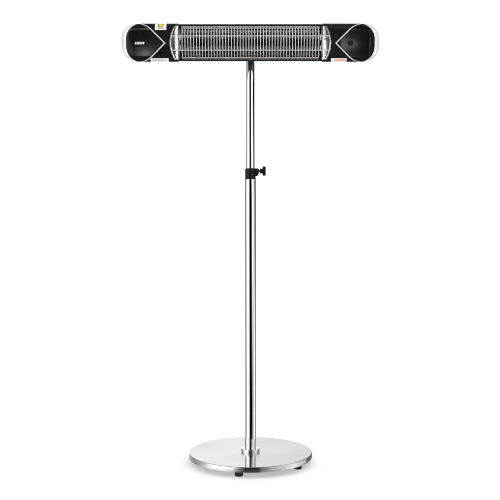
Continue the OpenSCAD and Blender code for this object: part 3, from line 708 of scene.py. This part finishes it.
def panel(loops, surface, top, bottom, edge, spacing=4.0, held=None, seam=None):
    """Sheet between two depths of a surface, with rounded edges on its outer face."""
    loops = [resample(loop, spacing) for loop in loops]
    loops = [loop if (area(loop) > 0) == (i == 0) else loop[::-1] for i, loop in enumerate(loops)]
    rims = []
    for turn in np.linspace(0, QUARTER, 4):
        inner = [inset(loop, edge * (1 - math.sin(turn)), held) for loop in loops]
        rims.append((inner, top + edge * (1 - math.cos(turn))))
    rims.append((loops, bottom))
    shapes = []
    for outline, depth in (rims[0], rims[-1]):
        flat, faces = fill(outline, spacing)
        shapes.append((surface(flat, depth), faces))
    for (outer, high), (inner, low) in zip(rims, rims[1:]):
        for loop_a, loop_b, base in zip(outer, inner, loops):
            count = len(loop_a)
            faces = []
            for i in range(count):
                j = (i + 1) % count
                if not (seam and seam(base[i], base[j])):
                    faces.append([i, j, count + j, count + i])
            shapes.append((list(surface(loop_a, high)) + list(surface(loop_b, low)), faces))
    return join_shapes(*shapes)


def on_side(side, shape):
    """A shape of the right end, mirrored if it is wanted on the left."""
    if side == "right":
        return shape
    return [(-p[0], p[1], p[2]) for p in shape[0]], [face[::-1] for face in shape[1]]


# -------------------------------- head shell


def teardrop_half(shift, last_u):
    """Upper half of the teardrop seen from the front, from its tip to a distance u."""
    centre = DROP_C + shift
    turn = math.degrees(math.acos((last_u - centre) / DROP_R))
    return [(TIP + shift, 0)] + arc((centre, 0), DROP_R, 135, turn, 40)


def insert_loop(gap):
    """Outline of an insert seen from the front."""
    centre, end_u, end_w, end_r = DROP_C + RIM_W + gap, HALF_LEN - 19 - END_R, 9.0, END_R - gap
    upper = [(TIP + RIM_W + gap, 0.0)]
    for u, w in arc((centre, 0), DROP_R, 135, 60, 90):
        if u < end_u or math.hypot(u - end_u, w - end_w) < end_r:
            upper.append((u, w))
    start = math.degrees(math.atan2(upper[-1][1] - end_w, upper[-1][0] - end_u))
    upper += arc((end_u, end_w), end_r, start, 0, 60)[1:]
    return upper + [(u, -w) for u, w in reversed(upper[1:])]


def within(v, w):
    """Whether a point lies inside the full cross-section."""
    if abs(w) > HALF_H or abs(v) > HALF_D:
        return False
    for sign, radius in ((-1, FRONT_R), (1, REAR_R)):
        past_v, past_w = sign * v - (HALF_D - radius), abs(w) - (HALF_H - radius)
        if past_v > 0 and past_w > 0:
            return math.hypot(past_v, past_w) < radius
    return True


def bore_loop(v, w, radius):
    """Unrolled outline of a round bore along the head where it comes through the dome."""
    result = []
    for target_v, target_w in arc((v, w), radius, 0, 360, 28)[:-1]:
        low, high = CAP_U, DOME_END - 0.5
        for _ in range(30):
            a = (low + high) / 2
            _, depth, height = end_scale(np.array([a]))
            low, high = (a, high) if within(target_v / depth[0], target_w / height[0]) else (low, a)
        _, depth, height = end_scale(np.array([low]))
        result.append((low, place_round(target_v / depth[0], target_w / height[0])))
    return result


def end_cap(side):
    """Domed silver cap. Its front runs out to the rim round the insert."""
    leg = unroll(teardrop_half(0, CAP_U))
    back_leg = [(a, ROUND - s) for a, s in leg[1:]]
    outer = [(CAP_U, 0), (DOME_END, 0), (DOME_END, ROUND), (CAP_U, ROUND)] + back_leg[::-1] + leg
    holes = [unroll(insert_loop(0)), bore_loop(SCREW_V, SCREW_W, 4.2), bore_loop(SCREW_V, -SCREW_W, 4.2)]

    def held(points):
        stay = np.ones_like(points)
        stay[(points[:, 1] < 0.01) | (points[:, 1] > ROUND - 0.01), 1] = 0
        stay[points[:, 0] > DOME_END - 0.01, 0] = 0
        return stay

    def seam(p, q):
        on_seam = max(p[1], q[1]) < 0.01 or min(p[1], q[1]) > ROUND - 0.01
        return on_seam or min(p[0], q[0]) > DOME_END - 0.01

    skin = panel([outer] + holes, shell, 0, 3.0, 0.9, 4.0, held, seam)
    rim = [(DOME_END, s) for s in np.linspace(0, ROUND, math.ceil(ROUND / 4.0) + 1)[:-1]]
    ends = [(shell(rim, depth), [list(range(len(rim)))]) for depth in (0, 3.0)]
    shape = on_side(side, join_shapes(skin, *ends))
    piece(f"cap_shell_{side}", "head", "silver_shell", shape, HEAD, [f"end_cap_{side}"])


def dished(points, depth):
    """The head's surface, hollowed gently towards the middle of an insert."""
    points = pairs(points)
    along, across = ((points - (DISH_U, FRONT_MID)) / (64, 60)).T
    hollow = np.clip(1 - along ** 2 - across ** 2, 0, 1) ** 1.5
    return shell(points, depth + 0.5 + DISH_DEPTH * hollow)


button_low, button_high = head_box("power_button")
BUTTON_U, BUTTON_R = (button_low[0] + button_high[0]) / 2, (button_high[0] - button_low[0]) / 2


def insert(side):
    loops = [unroll(insert_loop(0.3))]
    if side == "right":
        loops.append(unroll(arc((BUTTON_U, 0), BUTTON_R + 0.35, 0, 360, 48)[:-1]))
    shape = on_side(side, panel(loops, dished, 0, 1.6, 0.5, 3.0))
    piece(f"teardrop_{side}", "head", "insert_black", shape, HEAD, [f"insert_{side}"])


def front_cover(side):
    """Black cover beside the window, cut to the window's arc and to the teardrop."""
    low, high = head_box(f"front_cover_{side}")
    near, far = sorted(abs(x) for x in (low[0], high[0]))
    window_r, window_c = 104.0, 171.0
    skirt, shoulder = place_round(high[1], HALF_H), place_round(-25.5, HALF_H)
    turn = math.degrees(math.asin(HALF_H / window_r))
    window = unroll(arc((window_c, 0), window_r, turn, 0, 40))
    recess = unroll(teardrop_half(-0.4, far))
    upper = [(near, skirt), (near, shoulder), (window[0][0], shoulder)] + window
    lower = [(a, ROUND - s) for a, s in reversed(upper[:-1])]
    back = [(a, ROUND - s) for a, s in reversed(recess[1:])] + recess
    shape = on_side(side, panel([upper + lower + back + [(far, skirt)]], shell, 0, 1.9, 0.5, 4.0))
    piece(f"window_cover_{side}", "head", "head_black", shape, HEAD, [f"front_cover_{side}"])


def power_button():
    """Round push button with a raised ring and a shallow cup, on its stem."""
    face, back, r = button_low[1], button_high[1], BUTTON_R
    profile = rounded([(0, face + 0.7), (r - 3.2, face + 0.55), (r - 2.3, face, 0.5), (r, face, 0.7),
                       (r, face + 4.0, 0.2), (2.5, face + 4.0), (2.5, back), (0, back)], 5)
    turn = Matrix(((1, 0, 0, BUTTON_U), (0, 0, 1, 0), (0, -1, 0, 0), (0, 0, 0, 1)))
    piece("push_button", "power_button", "button_dark", lathe(profile, 64), HEAD @ turn, ["power_button"])


def button_spring():
    low, high = head_box("button_spring")
    wire, steps = 0.45, 28
    radius = (high[2] - low[2]) / 2 - wire
    count, path = int(3.5 * steps), []
    for k in range(count + 1):
        angle = 2 * math.pi * k / steps
        v = low[1] + wire + (high[1] - low[1] - 2 * wire) * k / count
        path.append((BUTTON_U + radius * math.cos(angle), v, radius * math.sin(angle)))
    piece("return_spring", "head", "zinc_steel", tube(path, wire, 8), HEAD, ["button_spring"])


def badge():
    """Small plate with a generic mark of rising heat: six wavy bars."""
    low, high = head_box("badge")
    centre_u, front, _ = (low + high) / 2
    half_u, _, half_w = (high - low) / 2
    base = rounded([(-half_u, -half_w, 3), (half_u, -half_w, 3), (half_u, half_w, 3), (-half_u, half_w, 3)])

    def flat(points, depth):
        u, w = pairs(points).T
        return np.stack([u + centre_u, np.full(len(u), front + depth), w], 1)

    piece("badge_plate", "head", "badge_metal", panel([base], flat, 0.0, 1.6, 0.2, 2.0), HEAD, ["badge"],
          "head_black")
    bars = []
    for k in range(6):
        left, right = [], []
        for z in np.linspace(-4.2, 4.2, 17):
            middle = -13.5 + 5.4 * k + math.sin(z * 0.75 + 0.6)
            half = 1.9 * math.cos(z / 4.2 * 1.1) ** 0.5
            left.append((middle - half, z))
            right.append((middle + half, z))
        bars.append(panel([left + right[::-1]], flat, -0.38, 0.2, 0.15, 1.2))
    piece("badge_mark", "head", "badge_metal", join_shapes(*bars), HEAD, material="badge_mark")


def labels():
    """Film labels round the head's edges, with plain coloured shapes in place of print."""
    films = [(-321, -283, 43.5, 1), (-338, -277, 51, -1), (273, 326, 51, -1)]

    def place(u, side, level):
        """Place s on the front's upper or lower edge, by its height."""
        return unroll([(u, side * level)])[0][1]

    def patch(loop, top, bottom, edge=0.02, spacing=2.0):
        return panel([loop], shell, top, bottom, edge, spacing)

    def box(u0, u1, s0, s1):
        return [(u0, s0), (u1, s0), (u1, s1), (u0, s1)]

    shapes = []
    for u0, u1, level, side in films:
        loop = box(u0, u1, place(u0, side, level), place(u0, side, HALF_H) - side * 6)
        shapes.append(patch(loop, -0.22, -0.03, 0.1, 3.0))
    piece("label_films", "head", "label_film", join_shapes(*shapes), HEAD, ["labels"])
    inner, outer = place(0, 1, 51.5), place(0, 1, 62.2) - 3
    middle = (-321 - 283) / 2 + 0.5
    edge = patch(box(middle - 9, middle + 9, inner, outer), -0.27, -0.2)
    block = patch(box(middle - 7, middle + 7, inner - 2, outer + 2), -0.31, -0.25)
    marks = [("block_edge", "head_black", edge), ("block", "label_yellow", block)]
    for name, material, u0, u1, level_0, level_1, side in (
            ("line", "label_grey", -316, -288, 46.8, 48.6, 1),
            ("bar_left", "label_pink", -333, -286, 54.5, 59.5, -1),
            ("bar_right", "label_red", 284, 323, 54.5, 59, -1)):
        loop = box(u0, u1, place(u0, side, level_0), place(u0, side, level_1))
        marks.append((name, material, patch(loop, -0.27, -0.2, 0.02, 3.0)))
    for name, material, shape in marks:
        piece(f"label_{name}", "head", "label_film", shape, HEAD, material=material)


# -------------------------------- reflector, lamps and grille

PITS = np.random.default_rng(7).uniform(-0.42, 0.42, (256, 256, 2))


def hammer(x, y, size):
    """Height of hammered metal: shallow round dents that meet in soft ridges."""
    x, y = np.asarray(x, float) / size, np.asarray(y, float) / size
    cell_x, cell_y = np.floor(x).astype(int), np.floor(y).astype(int)
    nearest = np.full(x.shape, 9.0)
    for i in (-1, 0, 1):
        for j in (-1, 0, 1):
            pit = PITS[(cell_x + i) % 256, (cell_y + j) % 256]
            away = np.hypot(cell_x + i + 0.5 + pit[..., 0] - x, cell_y + j + 0.5 + pit[..., 1] - y)
            nearest = np.minimum(nearest, away)
    return np.clip(nearest, 0, 1) ** 2


def reflector():
    """Hammered sheet bent to two troughs, which meet in a ridge behind the lamps."""
    low, high = head_box("reflector")
    half_u = high[0]
    trough_r, trough_v, trough_w, sheet = 30.0, -25.0, 26.0, 0.9
    side = [(v, high[2] - 0.5) for v in np.linspace(low[1], -14.5, 6)]
    first, last = math.asin(11 / trough_r), math.pi - math.acos(trough_w / trough_r)
    for angle in np.linspace(first, last, 44):
        side.append((trough_v + trough_r * math.sin(angle), trough_w + trough_r * math.cos(angle)))
    profile = np.array(side + [(v, -w) for v, w in reversed(side)])
    step = np.gradient(profile, axis=0)
    normal = np.stack([-step[:, 1], step[:, 0]], 1)
    normal /= np.linalg.norm(normal, axis=1, keepdims=True)
    normal *= -np.sign(normal[:, :1] + 1e-9)
    length = np.concatenate([[0], np.cumsum(np.hypot(*np.diff(profile, axis=0).T))])
    columns = np.linspace(-half_u, half_u, 241)
    grid_u, grid_s = np.meshgrid(columns, length, indexing="ij")
    rise = 0.75 * hammer(grid_u, grid_s, 9.0)
    back = (profile - normal * sheet)[::-1]
    rings = []
    for u, height in zip(columns, rise):
        outline = np.concatenate([profile + normal * height[:, None], back])
        rings.append([(u, v, w) for v, w in outline])
    piece("hammered_reflector", "head", "reflector_alu", loft(rings), HEAD, ["reflector"], smooth=50)


def reflector_end(side):
    """Hammered D that rolls inwards from its lip, and the upright wall round the lamps."""
    low, high = head_box(f"reflector_end_{side}")
    near, far = sorted(abs(x) for x in (low[0], high[0]))
    lip_v, lip_w, lip_r = low[1], high[2], 103.0
    centre = far - lip_r - 0.4
    turn = math.degrees(math.asin(lip_w / lip_r))
    edge = near + 4.0
    outline = arc((centre, 0), lip_r - 0.6, -turn, turn, 60) + [(edge, lip_w), (edge, -lip_w)]

    def roll(points, depth):
        """Narrow lip, then a face that turns away towards the lamps."""
        u, w = pairs(points).T
        rim = centre + np.sqrt((lip_r - 0.6) ** 2 - np.clip(np.abs(w), 0, lip_w) ** 2)
        share = np.clip((rim - 4 - u) / np.maximum(rim - 4 - edge, 1), 0, 0.985)
        v = lip_v + 5.5 + 15 * (1 - np.sqrt(1 - share ** 2))
        v -= 4.3 * np.clip((u - rim + 4) / 3.2, 0, 1) ** 2
        if depth == 0:
            level = 0.25 + 0.75 * np.clip((np.abs(w) - 12) / 24, 0, 1)
            v -= 0.8 * level * hammer(u + 40, w + 90, 7.0)
        return np.stack([u, v + depth, w], 1)

    plate = panel([outline], roll, 0, 0.8, 0.0, 1.6)
    bead = [(u, lip_v + 1.0, w) for u, w in arc((centre, 0), lip_r - 0.9, -turn, turn, 60)]
    _, lamp_v, lamp_w = sum(head_box("lamp_upper")) / 2
    top = lip_v + 21
    wall_loop = [(top, -lip_w), (high[1], -lip_w), (high[1], lip_w), (top, lip_w)]
    holes = [arc((lamp_v, s * lamp_w), 7.0, 0, 360, 40)[:-1] for s in (1, -1)]

    def wall(points, depth):
        v, w = pairs(points).T
        dent = 0.2 * hammer(v + 20, w + 70, 8.0) if depth == 0 else 0
        return np.stack([np.full(len(v), near) + depth - dent, v, w], 1)

    upright = panel([wall_loop] + holes, wall, 0, 0.9, 0.0, 2.0)
    shape = on_side(side, join_shapes(plate, tube(bead, 0.9, 10), upright))
    # The ends take the lighter copy of the aluminium: painted light.
    piece(f"hammered_end_{side}", "head", "reflector_alu", shape, HEAD, [f"reflector_end_{side}"],
          "reflector_end_alu_painted_light", smooth=50)


def filament(lamp):
    """Coiled wire in a lamp, with straight leads at its ends."""
    _, v, w = sum(head_box(lamp)) / 2
    half, radius, pitch, lead, steps = head_box("filaments")[1][0], 1.15, 2.4, 14, 9
    path = [(-half, v, w), (-half + 12, v, w)]
    for k in range(int(2 * (half - lead) / pitch) * steps + 1):
        angle = 2 * math.pi * k / steps
        u = -half + lead + pitch * k / steps
        path.append((u, v + radius * math.cos(angle), w + radius * math.sin(angle)))
    path += [(half - 10, v, w), (half, v, w)]
    return tube(path, 0.34, 5)


def lamps():
    for name, node in (("quartz_upper", "lamp_upper"), ("quartz_lower", "lamp_lower")):
        low, high = head_box(node)
        _, v, w = (low + high) / 2
        outer = (high[2] - low[2]) / 2
        bore = outer - 1.1
        profile = rounded([(bore, low[0], 0.3), (outer, low[0], 0.5), (outer, high[0], 0.5),
                           (bore, high[0], 0.3)], 3)
        turn = Matrix(((0, 0, 1, 0), (1, 0, 0, v), (0, 1, 0, w), (0, 0, 0, 1)))
        piece(name, "head", "quartz", lathe(profile, 40), HEAD @ turn, [node])
    coils = join_shapes(filament("lamp_upper"), filament("lamp_lower"))
    piece("heating_coils", "head", "filament", coils, HEAD, ["filaments"], smooth=80)


for name in ("left", "right"):
    end_cap(name)
    insert(name)
    front_cover(name)
    reflector_end(name)
power_button()
button_spring()
badge()
labels()
reflector()
lamps()

# -------------------------------- camera, light and floor


def camera():
    data = bpy.data.cameras.new("camera")
    data.lens = 69.61
    data.sensor_width = 36
    data.shift_x = -0.0008
    data.shift_y = -0.076
    obj = new_object("camera", data)
    obj.location = (0, -3.402, 0.8786)
    obj.rotation_euler = (math.pi / 2, 0, 0)
    bpy.context.scene.camera = obj


# Brightness that gloss sees round the object, as (azimuth, level). Azimuth 0 is the camera's side.
LOW_SKY = [(-180, .9), (-142, .5), (-99, .3), (-82, 1.3), (-40, 1.6), (-26, .5), (-15, 0), (30, 0), (38, .2),
           (46, .4), (68, .6), (80, 1.3), (112, 1.3), (124, 0), (166, 0), (174, .6), (180, .85)]
MID_SKY = [(-180, .9), (-142, .02), (-125, .3), (-99, .7), (-75, 1.5), (-38, 1.5), (-30, .2), (-16, 0),
           (17, 0), (24, .25), (32, 1.3), (52, 1.3), (66, .75), (96, .35), (116, 0), (162, 0), (172, .6),
           (180, .85)]
HIGH_SKY = [(-180, 1.06), (-165, .9), (-142, 0), (-110, .5), (-90, .9), (-68, 1.6), (-45, 1.4), (-33, .2),
            (-18, 0), (8, 0), (16, 1.2), (26, 1.8), (44, 1.6), (56, .7), (68, 0), (104, 0), (122, .3),
            (142, .35), (165, .9), (180, 1)]
TOP_SKY = [(-180, 1.06), (-172, 1.05), (-160, .2), (-152, .3), (-112, .3), (-100, .8), (-84, 1.4), (-38, 1.5),
           (-28, .5), (-17, 0), (24, 0), (30, .25), (48, .5), (60, .7), (66, 1.3), (84, 1.3), (94, .3),
           (146, .3), (158, .2), (172, .98), (180, 1)]
FLOOR_SKY = [(-180, .45), (-155, .33), (-130, .21), (-118, .4), (-101, .88), (-88, 1.05), (-66, .95),
             (-45, .62), (-39, .39), (-34, .16), (-31, .05), (11, .05), (14, .33), (31, .4), (51, .51),
             (74, 1.03), (86, .88), (101, .44), (118, .21), (149, .33), (180, .45)]
OVERHEAD = [(-180, .25), (180, .25)]
FLOOR_GLOW = [(-180, .2), (180, .2)]
# Each sky takes over from those before it between two elevations in degrees.
SKIES = [(-12, 1, MID_SKY), (0, 7, HIGH_SKY), (10.5, 12.5, TOP_SKY), (34, 46, OVERHEAD),
         (-13.3, -14.1, FLOOR_SKY), (-24, -40, FLOOR_GLOW)]
AZIMUTH_SHIFT = math.radians(6)
BACKDROP = (1.13, 1.13, 1.13, 1)


def studio():
    """White studio. Gloss sees softboxes at both sides, and a dark room behind the camera."""
    world = bpy.data.worlds.new("studio")
    bpy.context.scene.world = world
    world.use_nodes = True
    world.cycles.sampling_method = "NONE"
    graph = Graph(world.node_tree)
    place = graph.node("ShaderNodeTexCoord").outputs["Generated"]
    x, y, z = graph.node("ShaderNodeSeparateXYZ", {0: place}).outputs

    def maths(kind, first, second):
        return graph.node("ShaderNodeMath", {0: first, 1: second}, operation=kind).outputs[0]

    azimuth = maths("ARCTAN2", x, maths("MULTIPLY", y, -1))
    turn = maths("ADD", maths("DIVIDE", maths("SUBTRACT", azimuth, AZIMUTH_SHIFT), 2 * math.pi), 0.5)

    def ring(points):
        """Brightness round the horizon through some points."""
        ramp = graph.node("ShaderNodeValToRGB", {"Fac": turn})
        elements = ramp.color_ramp.elements
        for degrees, _ in points[1:-1]:
            elements.new(degrees / 360 + 0.5)
        for element, (degrees, level) in zip(elements, points):
            element.position = degrees / 360 + 0.5
            element.color = (level, level, level, 1)
        return ramp.outputs["Color"]

    sky = ring(LOW_SKY)
    for start, end, points in SKIES:
        first, last = math.sin(math.radians(start)), math.sin(math.radians(end))
        sky = graph.mix(graph.between(z, 0, 1, first, last, "SMOOTHSTEP"), sky, ring(points))
    gloss = graph.node("ShaderNodeLightPath").outputs["Is Glossy Ray"]
    graph.tree.links.new(graph.mix(gloss, BACKDROP, sky), graph.tree.nodes["Background"].inputs["Color"])


def softbox(name, location, target, size, power, receiver):
    """Soft light that only one piece sees, for the sheen on it."""
    data = bpy.data.lights.new(name, "AREA")
    data.shape = "ELLIPSE"
    data.size, data.size_y = size
    data.energy = power
    obj = new_object(name, data)
    obj.location = location
    obj.rotation_euler = (Vector(target) - Vector(location)).to_track_quat("-Z", "Y").to_euler()
    group = bpy.data.collections.new(name)
    group.objects.link(NODES.get(receiver) or bpy.data.objects[receiver])
    obj.light_linking.receiver_collection = group


def floor():
    """Pale floor. A part of its light is its own, so that shadows stay soft and light."""
    Shader("studio_floor", Base_Color=(0.54, 0.54, 0.54, 1), Roughness=0.9, Specular_IOR_Level=0.0,
           Emission_Color=(1, 1, 1, 1), Emission_Strength=0.45)
    reach = 40
    corners = [(-reach, -reach, 0), (reach, -reach, 0), (reach, reach, 0), (-reach, reach, 0)]
    mesh = bpy.data.meshes.new("studio_floor")
    mesh.from_pydata(corners, [], [[0, 1, 2, 3]])
    mesh.materials.append(MATERIALS["studio_floor"])
    obj = new_object("studio_floor", mesh)
    obj.visible_glossy = False


camera()
studio()
floor()
softbox("sheen_left", (-0.81, -3.1, 1.26), (-0.36, -0.14, 1.41), (0.3, 0.24), 7, "teardrop_left")
softbox("sheen_right", (0.98, -3.1, 0.75), (0.34, -0.14, 1.44), (0.2, 0.18), 2, "teardrop_right")
softbox("sheen_cover", (1.2, -1.9, 2.5), (0.32, -0.13, 1.51), (0.9, 0.5), 14, "window_cover_right")
softbox("streak_left", (2.0, -1.6, 1.2), (-0.26, -0.14, 1.45), (2.8, 2.4), 24, "hammered_end_left")
softbox("streak_right", (-2.2, -1.2, 1.2), (0.26, -0.14, 1.45), (1.0, 1.2), 8, "hammered_end_right")
softbox("grille_glow", (0, -2.6, 2.3), (0, -0.14, 1.45), (2.0, 0.5), 8, "grille_bars")
bpy.context.scene.view_settings.view_transform = "Standard"
bpy.context.scene.cycles.filter_width = 1.0
